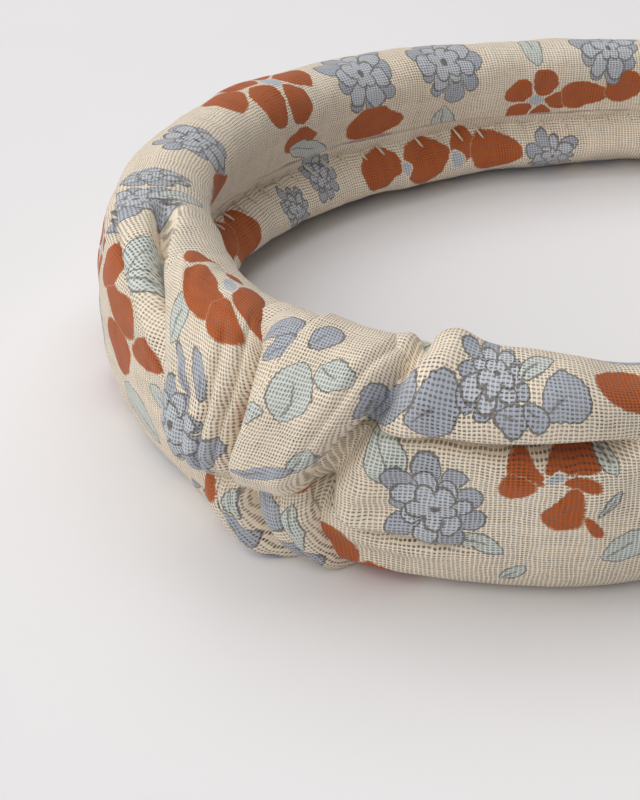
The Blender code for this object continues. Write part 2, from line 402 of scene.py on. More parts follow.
CREAM = srgb(243, 230, 211)
CREAM_DEEP = srgb(238, 223, 200)
RUST = srgb(188, 96, 46)
RUST_PALE = srgb(206, 150, 116)
BLUE_GREY = srgb(180, 185, 195)
BLUE_PALE = srgb(200, 205, 212)
LEAF = srgb(212, 218, 211)
LINE = srgb(124, 121, 117)
LINE_WIDTH = 0.19
WARP_GAP, WEFT_GAP = 0.24, 0.13  # least half width of a gap between threads, as a share of their pitch
REPEAT = (46.0, GIRTH / 3)  # of the print, along the cloth and across it

# One repeat of the print: kind, place along and across, turn in degrees, half length, half width.
PATTERN = (
    ("leaf", 16.0, 3.0, 30, 5.0, 2.4),
    ("leaf", 34.0, 26.0, 120, 4.6, 2.6),
    ("rust flower", 9.0, 12.0, 10, 9.0, 0),
    ("blue flower", 28.0, 9.0, 0, 8.2, 0),
    ("rust petal", 40.0, 19.5, 60, 4.2, 3.0),
    ("rust petal", 36.0, 16.5, 150, 3.4, 2.4),
    ("blue flower", 14.0, 28.0, 20, 6.8, 0),
    ("blue petal", 41.0, 3.0, 80, 3.4, 1.8),
    ("blue petal", 44.5, 31.0, 20, 3.4, 2.0),
)


def local(at, along, across, turn, repeated):
    """Coordinates in a motif's own frame, in millimetres."""
    a, b, _ = at.shader.parts(at)
    a, b = a - along, b - across
    if repeated:
        a = a.math("WRAP", REPEAT[0] / 2, -REPEAT[0] / 2)
        b = b.math("WRAP", REPEAT[1] / 2, -REPEAT[1] / 2)
    cosine, sine = turn.math("COSINE"), turn.math("SINE")
    return a * cosine + b * sine, b * cosine - a * sine


def egg(x, y, long, wide):
    """Distance from an egg shape's edge, in millimetres: negative inside."""
    x = x / long
    y = y / (x * (wide * 0.3) + wide)
    return ((x * x + y * y).math("SQRT") - 1) * ((long + wide) / 2)


def outlined(colour, away, fill, line, width=LINE_WIDTH):
    """A patch of `fill` with a printed line along its edge."""
    shader = away.shader
    colour = shader.mix(1 - away.over(-0.05, 0.12), colour, fill)
    return shader.mix((1 - abs(away).over(width * 0.4, width * 0.95)) * 0.9, colour, line)


# Each motif draws itself over a colour, from its own x and y. They all take the same inputs.


def rust_petal(colour, x, y, long, wide, turn):
    return outlined(colour, egg(x, y, long, wide), RUST, RUST_PALE, 0.16)


def eye(colour, x, y, long, wide, turn):
    return outlined(colour, egg(x, y, long, wide), BLUE_PALE, CREAM, 0.30)


def blue_petal(colour, x, y, long, wide, turn):
    colour = outlined(colour, egg(x, y, long, wide), BLUE_GREY, LINE)
    vein = (1 - abs(y).over(0.06, 0.24)) * (1 - abs(x / long + 0.35).over(0.3, 0.5))
    return colour.shader.mix(vein * 0.7, colour, LINE)


def leaf(colour, x, y, long, wide, turn):
    share = x / long
    half = (1 - (share * share).math("MINIMUM", 1.0)).math("POWER", 0.8) * wide
    away = (abs(y) - half).math("MAXIMUM", abs(x) - long)
    colour = outlined(colour, away, LEAF, LINE)
    vein = (1 - abs(y + share * share * 0.4).over(0.06, 0.26)) * (1 - abs(share + 0.3).over(0.45, 0.6))
    return colour.shader.mix(vein * 0.75, colour, LINE)


def ring(x, y, count, out, long, wide, turn, uneven):
    """Distance from the edge of a ring of petals, each a little different from the next."""
    sector = 2 * math.pi / count
    angle = (y.math("ARCTAN2", x) + turn).math("WRAP", 2 * math.pi, 0.0) / sector
    number = angle.math("FLOOR")
    own = ((number * 12.99 + turn * 3.7 + count).math("SINE") * 437.5).math("FRACT")
    folded = (angle.math("FRACT") - 0.5) * sector
    radius = (x * x + y * y).math("SQRT")
    size = own * uneven + (1 - uneven * 0.6)
    along = radius * folded.math("COSINE") / size - out
    return egg(along, radius * folded.math("SINE") / size, long, wide), radius


def rust_flower(colour, x, y, size, spare, turn):
    away, radius = ring(x, y, 5, size * 0.60, size * 0.42, size * 0.36, turn, 0.25)
    colour = outlined(colour, away, RUST, CREAM, 0.28)
    return x.shader.mix(1 - (radius / size).over(0.14, 0.2), colour, BLUE_PALE)


def blue_flower(colour, x, y, size, spare, turn):
    away, radius = ring(x, y, 9, size * 0.70, size * 0.34, size * 0.23, turn, 0.45)
    away = away.math("MINIMUM", radius - size * 0.55)
    colour = outlined(colour, away, BLUE_GREY, LINE)
    for petals, out, long, wide, start in ((7, 0.48, 0.30, 0.20, 0.35), (5, 0.22, 0.24, 0.16, 0.9)):
        away, _ = ring(x, y, petals, size * out, size * long, size * wide, turn + start, 0.45)
        colour = outlined(colour, away, BLUE_PALE, LINE, 0.24)
    return x.shader.mix(1 - (radius / size).over(0.06, 0.1), colour, LINE)


MOTIFS = {
    "rust petal": rust_petal,
    "blue petal": blue_petal,
    "eye": eye,
    "leaf": leaf,
    "rust flower": rust_flower,
    "blue flower": blue_flower,
}
MOTIF_INPUTS = (
    ("Colour", "NodeSocketColor"),
    ("At", "NodeSocketVector"),
    ("Along", "NodeSocketFloat"),
    ("Across", "NodeSocketFloat"),
    ("Turn", "NodeSocketFloat"),
    ("Long", "NodeSocketFloat"),
    ("Wide", "NodeSocketFloat"),
)


def motif_group(kind, repeated):
    """One kind of motif as a node group, so that each place where it falls is a single node."""
    name = kind + (" repeated" if repeated else "")

    def draw(shader, colour, at, along, across, turn, long, wide):
        x, y = local(at, along, across, turn, repeated)
        return MOTIFS[kind](colour, x, y, long, wide, turn)

    return bpy.data.node_groups.get(name) or node_group(name, MOTIF_INPUTS, draw)


def printed(shader, colour, at, motifs, repeated=False):
    for kind, along, across, turn, long, wide in motifs:
        settings = {"node_tree": motif_group(kind, repeated)}
        places = {"Along": along, "Across": across, "Turn": math.radians(turn), "Long": long, "Wide": wide}
        colour = shader.node("ShaderNodeGroup", settings, {"Colour": colour, "At": at, **places})
    return colour


def printed_gauze(name, motifs, showing=()):
    """Two open layers of cream cotton threads with the flower print on the upper one.

    The repeat covers the whole cloth, but for the areas in `showing` (from and to along it, from and to
    across it), where only `motifs` fall.
    """
    return material(name, lambda shader: gauze(shader, motifs, showing))


def gauze(shader, motifs, showing):
    at = shader.node("ShaderNodeAttribute", {"attribute_name": "cloth"}, {}, "Vector")
    a, b, _ = shader.parts(at)
    bend_a = (shader.noise(at, 0.17, 1.0) - 0.5) * 2.4 + (shader.noise(at, 0.55, 1.0) - 0.5) * 0.5
    mirrored = shader.vector(b, a, 5.0)
    bend_b = (shader.noise(mirrored, 0.17, 1.0) - 0.5) * 2.4
    bend_b = bend_b + (shader.noise(mirrored, 0.55, 1.0) - 0.5) * 0.5
    step_a = (shader.noise(shader.vector(a * 0.5, b * 2.2, 3.0), 1.0, 1.0) - 0.5) * 0.6
    step_b = (shader.noise(shader.vector(a * 2.2, b * 0.5, 9.0), 1.0, 1.0) - 0.5) * 0.6
    inked = shader.vector(a + bend_a + step_a, b + bend_b + step_b)
    colour = shader.mix(shader.noise(at, 0.05, 1.0), CREAM, CREAM_DEEP)
    plain = colour
    colour = printed(shader, colour, inked, PATTERN, repeated=True)
    for start, end, low, high in showing:
        inside = a.over(start, start + 0.1) * (1 - a.over(end, end + 0.1))
        inside = inside * b.over(low, low + 0.1) * (1 - b.over(high, high + 0.1))
        colour = shader.mix(inside, colour, plain)
    colour = printed(shader, colour, inked, motifs)

    # The weave. Threads vary in tone along their length, with painted shade on their edges beside the
    # gaps, and the under layer shows through the holes in painted shade.
    drift_a = shader.noise(at, 0.16) * 1.1
    drift_b = shader.noise(shader.vector(b, a, 7.0), 0.16) * 1.1
    jitter = shader.noise(at, 1.1, 1.0)
    warp = (a + drift_a + jitter * 0.22) / THREAD_PITCH[0]
    weft = (b + drift_b - jitter * 0.22) / THREAD_PITCH[1]
    gap_a = gap(shader, warp, weft, 3.0, WARP_GAP)
    gap_b = gap(shader, weft, warp, 11.0, WEFT_GAP)
    hole = gap_a * gap_b
    slub = shader.noise(shader.vector(a * 0.35, b * 3.4), 1.0)
    slub = slub + shader.noise(shader.vector(a * 3.4, b * 0.35), 1.0)
    # Slub is the threads' own tone; the darkening beside the gaps is painted shade on the threads' rounded
    # edges.
    slub_and_edge_shade = 0.84 + slub * 0.22 - gap_a * 0.16 - gap_b * 0.10
    under_warp = (a * 0.985 + b * 0.09) / THREAD_PITCH[0]
    under_weft = (b * 0.99 - a * 0.08) / THREAD_PITCH[1]
    under = gap(shader, under_warp, under_weft, 21.0, WARP_GAP)
    under = under * gap(shader, under_weft, under_warp, 31.0, WEFT_GAP)
    depth = shader.noise(at, 0.09, 1.0).over(0.3, 0.7)
    # Painted shade: the under layer seen through the holes is darkened, more where it lies deeper and
    # where its own gaps fall.
    shade = 0.42 - depth * 0.12 - under * 0.20
    top = shader.scale(colour, slub_and_edge_shade)
    shaded_under_layer = shader.scale(shader.mix(0.3, colour, CREAM), shade)
    cloth = shader.mix(hole * 0.95, top, shaded_under_layer)

    relief = (1 - gap_a).math("MAXIMUM", 1 - gap_b) + (slub - 1.0) * 0.5
    bump = shader.node("ShaderNodeBump", {}, {"Strength": 0.45, "Distance": 0.00012, "Height": relief})
    return {
        "Base Color": cloth,
        "Roughness": 0.92,
        "Normal": bump,
        "Sheen Weight": 0.12,
        "Sheen Roughness": 0.5,
        "Specular IOR Level": 0.2,
    }


def gap(shader, across, along, seed, width):
    """1 between two threads and 0 on one. Each thread has its own width, which wavers along it."""
    number = across.math("FLOOR")
    own = ((number * 12.99 + seed).math("SINE") * 437.5).math("FRACT")
    waver = shader.noise(shader.vector(number * 7.3, along * 0.45, seed), 1.0, 1.0)
    half = width + own * 0.07 + waver * 0.10
    away = abs(across.math("FRACT") - 0.5)
    return (half - away).over(-0.04, 0.06)


def wadding_fibres(shader):
    """Matted white polyester fibres."""
    at = shader.node("ShaderNodeTexCoord", {}, {}, "Object")
    x, y, z = shader.parts(at)
    lint = shader.noise(shader.vector(x * 900.0, y * 300.0, z * 2400.0), 1.0, 4.0)
    tuft = shader.noise(at, 160.0, 3.0)
    colour = shader.mix(lint * 0.6 + tuft * 0.4, srgb(205, 203, 196), srgb(246, 245, 240))
    bump_values = {"Strength": 0.7, "Distance": 0.0006, "Height": lint + tuft * 2.0}
    bump = shader.node("ShaderNodeBump", {}, bump_values)
    return {"Base Color": colour, "Roughness": 0.95, "Normal": bump, "Sheen Weight": 0.25}


def twisted_thread(shader):
    """Cream cotton thread with the twist of its plies, and painted shade in the grooves between them."""
    at = shader.node("ShaderNodeAttribute", {"attribute_name": "cloth"}, {}, "Vector")
    along, turn, _ = shader.parts(at)
    ply = (along * 9.0 + turn * 2.0).math("SINE") * 0.5 + 0.5
    fuzz = shader.noise(shader.node("ShaderNodeTexCoord", {}, {}, "Object"), 2600.0, 2.0)
    # Painted shade: the colour darkens with the ply wave, in the twist's grooves.
    colour = shader.mix(ply * 0.7 + fuzz * 0.3, srgb(196, 182, 156), srgb(243, 234, 214))
    bump = shader.node("ShaderNodeBump", {}, {"Strength": 0.6, "Distance": 0.0001, "Height": ply})
    return {"Base Color": colour, "Roughness": 0.8, "Normal": bump, "Sheen Weight": 0.1}


def moulded_plastic(shader):
    """Milky plastic strip with faint flow lines and rubbed patches."""
    at = shader.node("ShaderNodeTexCoord", {}, {}, "Object")
    x, y, z = shader.parts(at)
    flow = shader.noise(shader.vector(x * 60.0, y * 60.0, z * 900.0), 1.0, 3.0)
    rub = shader.noise(at, 90.0, 4.0)
    colour = shader.mix(flow, srgb(214, 214, 210), srgb(232, 231, 227))
    bump = shader.node("ShaderNodeBump", {}, {"Strength": 0.2, "Distance": 0.0001, "Height": flow + rub})
    return {"Base Color": colour, "Roughness": rub * 0.25 + 0.3, "Normal": bump, "Coat Weight": rub * 0.15}


# ---------------------------------------------------------------- sleeves


def lap(away, rise, overhang, hollow, reach, narrow, curl=0.4):
    """One side of a fold (away > 0) hanging over the other.

    It gives how far points shift along the section, and how far they rise. The other side has a pocket
    `hollow` deep and `narrow` wide beside the fold.
    """
    over = smooth((away + 0.4) / 0.8)
    ahead, behind = np.maximum(away, 0), np.maximum(-away, 0)
    lip = rise * np.exp(-ahead / reach) * (1 - curl * np.exp(-((ahead / 1.0) ** 2)))
    shift = -overhang * over * np.exp(-ahead / 2.5) + overhang * (1 - over) * np.exp(-behind / 1.6)
    pocket = np.exp(-((behind / narrow) ** 4))
    swell = 0.14 * np.exp(-(((behind - 2.6 * narrow) / (1.4 * narrow)) ** 2))
    return shift, over * lip + (1 - over) * hollow * (swell - pocket)


def folds_right(s, arc):
    """The right arm beside the knot.

    The upper flap stands over the lower lobe with a slit between them, and the lobe over a lower fold.
    """
    slit = arc - key_degrees(s, (15, 33), (30, 35), (45, 38), (60, 39), (80, 40))
    rise = key(
        s, (18, 0.2), (27, 0.6), (33, 1.8), (40, 3.0), (48, 3.4), (56, 2.4), (64, 0.6), (70, 0.0)
    )
    gape = key(s, (22, 2.0), (32, 4.0), (44, 7.5), (52, 9.5), (58, 8.0), (63, 1.6), (70, 0.0))
    hang = key(s, (20, 0.3), (28, 0.5), (42, 0.5), (52, 0.2), (60, 0.0), (70, 0.0), (80, 0.0))
    near = between(s, 16, 64, 6)
    wide = key(
        s, (20, 0.9), (34, 1.2), (42, 1.7), (50, 2.7), (56, 3.2), (60, 2.6), (64, 1.6), (80, 1.2)
    )
    shift, lift = lap(slit, rise * near, hang * near, gape * near, 15.0, wide)
    dip = 1.6 * np.exp(-np.abs(slit) / 4.0) * between(s, 18, 74, 10)
    low = arc - key_degrees(s, (15, 2), (20, -2), (26, -10), (33, -14), (45, -18))
    size = between(s, 14, 40, 8)
    low_shift, low_lift = lap(low, 1.6 * size, 0.5 * size, 2.8 * size, 6.0, 1.2)
    puff = 1.8 * between(s, 26, 58, 12) * between(arc, arc_at(42), arc_at(112), 8)
    top = between(arc, arc_at(-14), arc_at(125), 8)
    edge = key(arc, (-12, 19.5), (0, 21.3), (6.5, 24.5), (11.5, 27), (15, 29), (20, 31), (27, 32))
    beside_knot = bell(s - edge, 1.5)
    bunched = bell(s - edge - 5.0, 3.0)
    pinch = (3.6 * beside_knot - 1.6 * bunched) * top
    pinch = pinch + 3.0 * bell(s - 20.5, 2.6) * bell(arc + 2.0, 2.6)
    radiating = 0.5 * np.sin(arc * 1.15 + 1.5 * np.sin(arc / 6)) * bell(s - 30.0, 8.0)
    return shift + low_shift, lift + low_lift + puff - dip - pinch + radiating


def folds_left(s, arc):
    """The left arm beside the knot: an overlapping pleat, and a slot that runs on from the knot's edge."""
    pleat = arc - key_degrees(s, (-60, 74), (-44, 70), (-27, 64), (-14.5, 42), (-5, 18), (0, 5))
    size = between(s, -52, 4, 14)
    shift, lift = lap(pleat, 2.2 * size, 0.5 * size, 3.0 * size, 8.0, 1.3)
    slot = arc - key_degrees(s, (-40, 112), (-33, 108), (-25, 98), (-18, 84), (-10, 66))
    dark = between(s, -36, -8, 6)
    slot_shift, slot_lift = lap(slot, 1.4 * dark, 0.2 * dark, 6.0 * dark, 5.0, 2.0)
    return shift + slot_shift, lift + slot_lift


def seam_line(s, seed):
    return GIRTH / 2 + SEAM_DROP * (1.1 - 0.6 * arm_share(s)) + 0.9 * np.sin(s / 23.0 + seed)


def seam_fold(s, arc, seed):
    """The inner face, where the cloth's edges are sewn together in a fold a little below the middle.

    The upper lobe slopes back to the fold, and the lower lobe swells out under it.
    """
    shaded_under_layer = np.mod(arc - seam_line(s, seed) + GIRTH / 2, GIRTH) - GIRTH / 2
    away = np.abs(shaded_under_layer)
    upper = 4.6 * bell(away - 15.0, 6.5) - (SEAM_DEPTH + 0.3) * np.exp(-away / 5.0)
    lower = 5.0 * bell(away - 6.5, 4.5) - SEAM_DEPTH * np.exp(-away / 1.6)
    puckers = ripple(s, away * 0.2, seed + 20, 14, 5, 6) * np.exp(-away / 8)
    return (1 - 0.35 * arm_share(s)) * (np.where(shaded_under_layer < 0, upper, lower) + 0.4 * puckers)


def sleeve(name, side, start, prints):
    """The sleeve of one arm, from under the knot to the gathered tip."""
    seed = SLEEVE_SEED[side]
    fine, coarse = spaced(start, FINE_LENGTH, FINE), spaced(FINE_LENGTH, HALF_LENGTH, COARSE)
    run = np.concatenate([fine, coarse[1:]])
    arcs = np.linspace(-GIRTH / 2, GIRTH / 2, int(GIRTH / FINE), endpoint=False)
    s, arc = np.meshgrid(side * run, arcs, indexing="ij")
    rise = seam_fold(s, arc, seed)
    rise = rise + 0.5 * ripple(s, arc, seed, 60, 22) + 0.16 * ripple(s, arc, seed + 40, 10, 5)
    shift, lift = folds_right(s, arc) if side > 0 else folds_left(s, arc)
    points = gather_tip(s, angle_at(arc + shift), rise + lift)
    piece = grid_mesh(name, points, np.stack([s, arc], -1), prints[0], closed=True)
    for far_print in prints[1:]:
        piece.data.materials.append(far_print)
        far = np.repeat(np.abs(run[:-1]) > NEAR_PRINT, len(arcs))
        piece.data.polygons.foreach_set("material_index", far.astype(np.int32))
    return as_cloth(piece, outside_in=side > 0)


def gather_tip(s, angle, rise):
    """Band points whose last stretch draws in to a small puckered end."""
    close = np.clip((np.abs(s) - (HALF_LENGTH - TIP_ROUND)) / TIP_ROUND, 0, 1)
    size = np.sqrt(np.maximum(1 - close**2.4 * 0.9995, 0))
    pucker = 0.35 * close * np.sin(angle * 11)
    u, v = section(s, angle, rise + pucker)
    middle = height(s) / 2
    u, v = u * size, middle + (v - middle) * size
    return on_hoop(s, u, np.maximum(v, 0) + TABLE_GAP)


# ---------------------------------------------------------------- knot


def ribbon(name, rows, surface, pleats=(), seed=1, edge=-1.2, roundness=(2.8, 2.8), lumps=0.25):
    """A soft strap laid on the band.

    Each row is (s, degrees) of its left edge, (s, degrees) of its right edge and its rise in the middle.
    A pleat is ((share of the length, place across), ...), depth, width, lean and the shares of the length
    that it starts and fades at; lean 1 makes the cloth to the right stand over the cloth to the left.
    """
    table = np.array(rows, float)
    halfway = (table[:, 0:2] + table[:, 2:4]) / 2
    middle = on_band(halfway[:, 0], np.radians(halfway[:, 1]), table[:, 4])
    along = np.concatenate([[0], np.cumsum(np.linalg.norm(np.diff(middle, axis=0), axis=1))])
    run = spaced(0, along[-1], 0.5)
    values = cubic(along, table, run)
    even = np.linspace(-1, 1, 85)
    across = np.sign(even) * (1 - (1 - np.abs(even)) ** 1.5)
    left = on_band(values[:, 0], np.radians(values[:, 1]), values[:, 4] / 2)
    right = on_band(values[:, 2], np.radians(values[:, 3]), values[:, 4] / 2)
    width = np.linalg.norm(right - left, axis=1)[:, None]
    dome = (1 - np.abs(across) ** np.where(across < 0, *roundness)) ** (1 / 1.9)
    rise = edge + (values[:, 4, None] - edge) * dome
    lengthwise = run[:, None] / along[-1]
    place = across * width / 2
    slide = 0 * place
    for line, depth, wide, lean, (start, end) in pleats:
        away = place - key(lengthwise, *line) * width / 2
        size = depth * between(lengthwise, start, end, 0.12)
        over = smooth(away * np.sign(lean) / 0.8 + 0.5)
        near = np.abs(away)
        stands = abs(lean) * (over * np.exp(-near / 4) - 0.3 * (1 - over) * np.exp(-near / 2))
        rise = rise + dome * size * (stands - 0.8 * bell(away, wide))
        slide = slide - lean * size * 0.7 * (over - 0.5) * np.exp(-near / 1.8)
    rise = rise + lumps * dome * ripple(run[:, None] * 0.35 + 0 * place, place, seed, 9, 3.5, 7)
    share = (across + 1) / 2 + slide / width
    s = values[:, 0, None] * (1 - share) + values[:, 2, None] * share
    degrees = values[:, 1, None] * (1 - share) + values[:, 3, None] * share
    points = on_band(s, np.radians(degrees), rise)
    flat = np.stack([run[:, None] + 0 * place, place], -1)
    downwards = table[-1, 1] < table[0, 1]
    return as_cloth(grid_mesh(name, points, flat, surface), outside_in=downwards)


# ---------------------------------------------------------------- pieces

# Which motifs of the print fall where they show most: kind, along, across, turn, half length, half width.
RIGHT_PRINT = (
    ("blue petal", 29.5, 14.5, 40, 4.4, 2.0),
    ("blue petal", 36.0, 15.0, 30, 3.6, 2.6),
    ("blue flower", 43.0, 19.0, 10, 5.4, 0),
    ("leaf", 49.0, 20.5, 25, 3.0, 1.3),
    ("blue petal", 52.5, 17.0, 36, 3.4, 2.4),
    ("blue petal", 45.5, 14.5, -20, 2.0, 1.6),
    ("blue petal", 48.5, 14.8, -30, 2.0, 1.4),
    ("leaf", 30.0, 7.0, -58, 4.4, 2.9),
    ("leaf", 42.5, -5.5, -28, 3.6, 1.5),
    ("blue flower", 36.5, 0.5, 20, 6.8, 0),
    ("rust petal", 48.0, 7.6, 160, 2.8, 1.9),
    ("rust petal", 47.0, 5.2, 200, 2.8, 2.0),
    ("rust petal", 55.2, 9.0, 12, 4.4, 1.6),
    ("rust petal", 55.6, 5.8, -10, 2.4, 1.3),
    ("rust petal", 53.6, 1.4, -100, 3.9, 2.4),
    ("rust petal", 57.4, -1.2, -60, 2.2, 1.0),
    ("eye", 52.0, 6.9, 8, 1.5, 0.8),
    ("leaf", 59.4, 9.2, -68, 2.0, 1.3),
    ("leaf", 59.4, 2.6, 55, 2.5, 0.7),
    ("leaf", 62.8, -5.6, 35, 4.2, 2.6),
    ("leaf", 47.4, -11.2, 52, 2.4, 1.3),
    ("rust petal", 22.5, -11.5, 120, 4.4, 3.4),
    ("rust petal", 29.5, -17.5, 165, 5.0, 3.6),
    ("rust petal", 62.0, 19.5, 0, 4.6, 3.6),
)
LEFT_PRINT = (
    ("rust petal", -28.5, 12.5, 60, 4.4, 3.6),
    ("rust petal", -22.0, 8.8, 0, 6.0, 3.0),
    ("rust petal", -22.5, 1.8, 100, 4.4, 4.6),
    ("rust petal", -12.0, 7.0, 20, 5.6, 2.4),
    ("leaf", -21.5, 18.0, 120, 3.6, 3.0),
    ("leaf", -16.5, 16.5, 10, 3.6, 1.4),
    ("leaf", -17.0, -7.0, 150, 5.6, 3.6),
    ("leaf", -9.0, 1.0, 170, 2.6, 2.0),
    ("blue flower", -38.0, 20.5, 0, 6.0, 0),
    ("blue flower", -49.0, 22.0, 40, 5.0, 0),
    ("leaf", -40.5, 26.0, 130, 3.0, 2.2),
)
LEFT_FAR_PRINT = (
    ("blue flower", -69.0, 25.5, 0, 6.0, 0),
    ("rust petal", -66.5, 34.0, 0, 6.4, 3.6),
    ("rust petal", -81.5, -36.0, 10, 6.6, 3.8),
    ("rust petal", -74.0, -38.0, 0, 5.6, 3.0),
    ("rust flower", -104.0, 23.0, 20, 11.0, 0),
    ("rust petal", -91.0, 22.5, 0, 4.6, 3.6),
    ("rust petal", -106.5, 36.0, 0, 5.4, 2.6),
    ("leaf", -110.0, 39.5, 160, 7.0, 2.4),
    ("blue flower", -126.0, 26.5, 0, 8.4, 0),
    ("rust petal", -129.0, 38.0, 0, 7.4, 4.2),
    ("blue flower", -147.0, 27.0, 30, 8.0, 0),
    ("leaf", -147.0, 42.0, 100, 5.4, 2.6),
    ("leaf", -168.0, 24.5, 95, 4.8, 2.4),
    ("rust flower", -169.0, 38.0, 0, 8.4, 0),
    ("rust petal", -180.0, 36.5, 10, 5.4, 4.0),
    ("rust petal", -189.0, 34.5, 30, 5.0, 4.0),
    ("rust petal", -185.0, 44.5, 0, 3.6, 3.0),
    ("blue flower", -185.0, 25.5, 0, 7.4, 0),
    ("blue flower", -102.0, -35.0, 10, 4.6, 0),
    ("blue flower", -113.0, -38.0, 50, 4.4, 0),
    ("rust petal", -130.0, -36.0, 0, 5.6, 3.2),
    ("rust petal", -142.0, -35.5, 10, 6.0, 4.0),
    ("rust petal", -151.5, -37.5, 90, 3.6, 3.0),
    ("rust petal", -159.5, -35.0, 0, 6.2, 3.8),
    ("eye", -150.0, -34.5, 0, 1.8, 1.6),
    ("eye", -136.5, -35.0, 0, 1.6, 1.5),
    ("blue flower", -173.0, -33.0, 0, 6.0, 0),
)
WRAP_LEFT_PRINT = (
    ("leaf", 29.5, -4.0, 10, 5.4, 2.2),
    ("rust petal", 45.5, -6.5, 0, 5.2, 3.2),
    ("rust petal", 37.5, 0.0, 150, 6.2, 5.0),
    ("rust petal", 34.2, 6.0, 178, 5.0, 3.3),
    ("rust petal", 41.0, 11.0, -20, 6.0, 3.8),
    ("rust petal", 49.0, 3.0, 20, 4.4, 3.8),
    ("eye", 42.8, 4.6, 120, 2.4, 1.2),
    ("blue petal", 22.8, 2.4, -20, 3.4, 1.3),
    ("blue petal", 22.0, -1.0, -30, 4.0, 1.0),
    ("blue flower", 13.0, -1.5, 10, 7.4, 0),
    ("blue petal", 10.0, 5.0, 20, 4.4, 1.6),
)
WRAP_RIGHT_PRINT = (
    ("blue petal", 36.8, -6.9, 50, 3.9, 2.2),
    ("blue petal", 32.9, -6.2, 35, 3.6, 1.5),
    ("blue petal", 36.5, 0.4, 35, 3.0, 1.8),
    ("leaf", 26.5, -0.5, -7, 4.6, 3.2),
    ("leaf", 30.5, 4.2, 110, 3.0, 2.6),
    ("leaf", 21.6, -5.2, 60, 2.8, 1.7),
    ("leaf", 15.6, 5.4, 13, 2.6, 1.7),
    ("blue petal", 28.0, 9.6, 5, 3.6, 1.3),
    ("blue petal", 12.2, 1.0, 70, 4.2, 1.1),
    ("rust petal", 16.0, -8.0, 0, 3.4, 1.2),
)
FRONT_STRAND_PRINT = (
    ("rust petal", 5.0, -2.4, 20, 4.6, 1.7),
    ("blue petal", 13.0, 1.5, 10, 4.4, 1.5),
    ("leaf", 8.0, 3.0, 0, 3.0, 1.1),
    ("blue petal", 20.0, -1.0, 30, 4.0, 1.8),
)
REAR_STRAND_PRINT = (
    ("rust petal", 1.5, 0.5, 80, 4.4, 2.0),
    ("blue petal", 7.5, -1.5, 20, 3.8, 2.2),
    ("leaf", 10.0, 2.4, -10, 4.4, 1.4),
    ("blue petal", 16.0, 0.0, 40, 4.0, 2.0),
)

sleeve_left = sleeve(
    "sleeve_cloth_left",
    -1,
    -3.0,
    (
        printed_gauze("left_sleeve_print", LEFT_PRINT, ((-64, -34, 14, 31), (-34, 4, -16, 31))),
        printed_gauze(
            "left_sleeve_far_print", LEFT_FAR_PRINT, ((-200, -56, 14, 52), (-200, -56, -52, -27))
        ),
    ),
)
sleeve_right = sleeve(
    "sleeve_cloth_right",
    1,
    3.0,
    (printed_gauze("right_sleeve_print", RIGHT_PRINT, ((2, 68, -22, 25),)),),
)

wrap_left = ribbon(
    "knot_wrap_left",
    [
        (0.0, -12, 9.5, -8, 0.2),
        (-3.0, -6, 9.4, -4, 4.0),
        (-4.6, 3, 9.8, 3, 6.6),
        (-4.8, 16, 10.0, 12, 6.4),
        (-5.5, 30, 10.2, 25, 5.4),
        (-8.0, 45, 10.4, 40, 4.6),
        (-12.0, 62, 9.6, 58, 3.6),
        (-18.0, 80, 8.0, 76, 2.9),
        (-23.5, 98, 5.0, 96, 2.5),
        (-25.0, 125, 2.6, 125, 2.1),
        (-22.0, 180, 2.2, 180, 1.7),
        (-14.0, 240, 3.0, 240, 1.4),
        (-8.0, 285, 4.0, 285, 1.0),
        (-5.0, 320, 6.0, 320, 0.6),
    ],
    printed_gauze("wrap_left_print", WRAP_LEFT_PRINT, ((-1, 54, -16, 16),)),
    pleats=(
        (((0, 0.55), (0.12, 0.70), (0.3, 0.80), (1, 0.8)), 1.4, 0.6, -0.5, (0.03, 0.36)),
        (((0, 0.25), (0.12, 0.42), (0.3, 0.5), (1, 0.5)), 1.3, 0.7, -0.5, (0.03, 0.30)),
        (((0, 0.0), (0.12, 0.1), (0.3, 0.1), (1, 0.1)), 0.7, 0.9, 0.4, (0.02, 0.2)),
        (((0, -0.5), (0.1, -0.4), (0.3, -0.2), (1, -0.1)), 0.8, 0.9, 0.6, (0.02, 0.22)),
    ),
    seed=3,
    roundness=(2.8, 6.0),
)
FRONT_PLEAT = ((0, -0.96), (0.1, -0.74), (0.2, -0.62), (0.32, -0.40), (0.5, -0.1), (1, 0.1))
EDGE_PLEAT = ((0, 0.9), (0.08, 0.78), (0.22, 0.6), (0.32, 0.68), (0.42, 0.83), (1, 0.8))
wrap_right = ribbon(
    "knot_wrap_right",
    [
        (10.5, -7, 18.0, -5, -0.4),
        (9.4, -2, 19.6, 0, 4.8),
        (9.5, 6, 20.6, 7, 7.6),
        (10.1, 18, 22.6, 18, 7.8),
        (10.5, 32, 25.4, 33, 7.4),
        (10.3, 46, 27.6, 46, 6.7),
        (9.2, 66, 29.4, 66, 5.4),
        (6.0, 90, 30.6, 90, 3.8),
        (3.0, 112, 30.6, 112, 3.0),
        (1.0, 150, 26.0, 150, 2.5),
        (0.2, 180, 22.0, 180, 2.2),
        (1.0, 240, 16.0, 240, 1.7),
        (3.0, 285, 12.0, 285, 1.2),
        (6.0, 320, 14.0, 320, 0.8),
    ],
    printed_gauze("wrap_right_print", WRAP_RIGHT_PRINT, ((-1, 48, -16, 16),)),
    pleats=(
        (FRONT_PLEAT, 1.1, 0.6, 1.0, (0.0, 0.62)),
        (EDGE_PLEAT, 0.9, 0.9, -0.25, (0.04, 0.6)),
        (((0, 0.1), (0.2, 0.1), (0.4, 0.3), (1, 0.4)), 0.35, 2.0, 0.1, (0.1, 0.6)),
    ),
    seed=4,
    lumps=0.18,
    roundness=(4.0, 6.0),
)
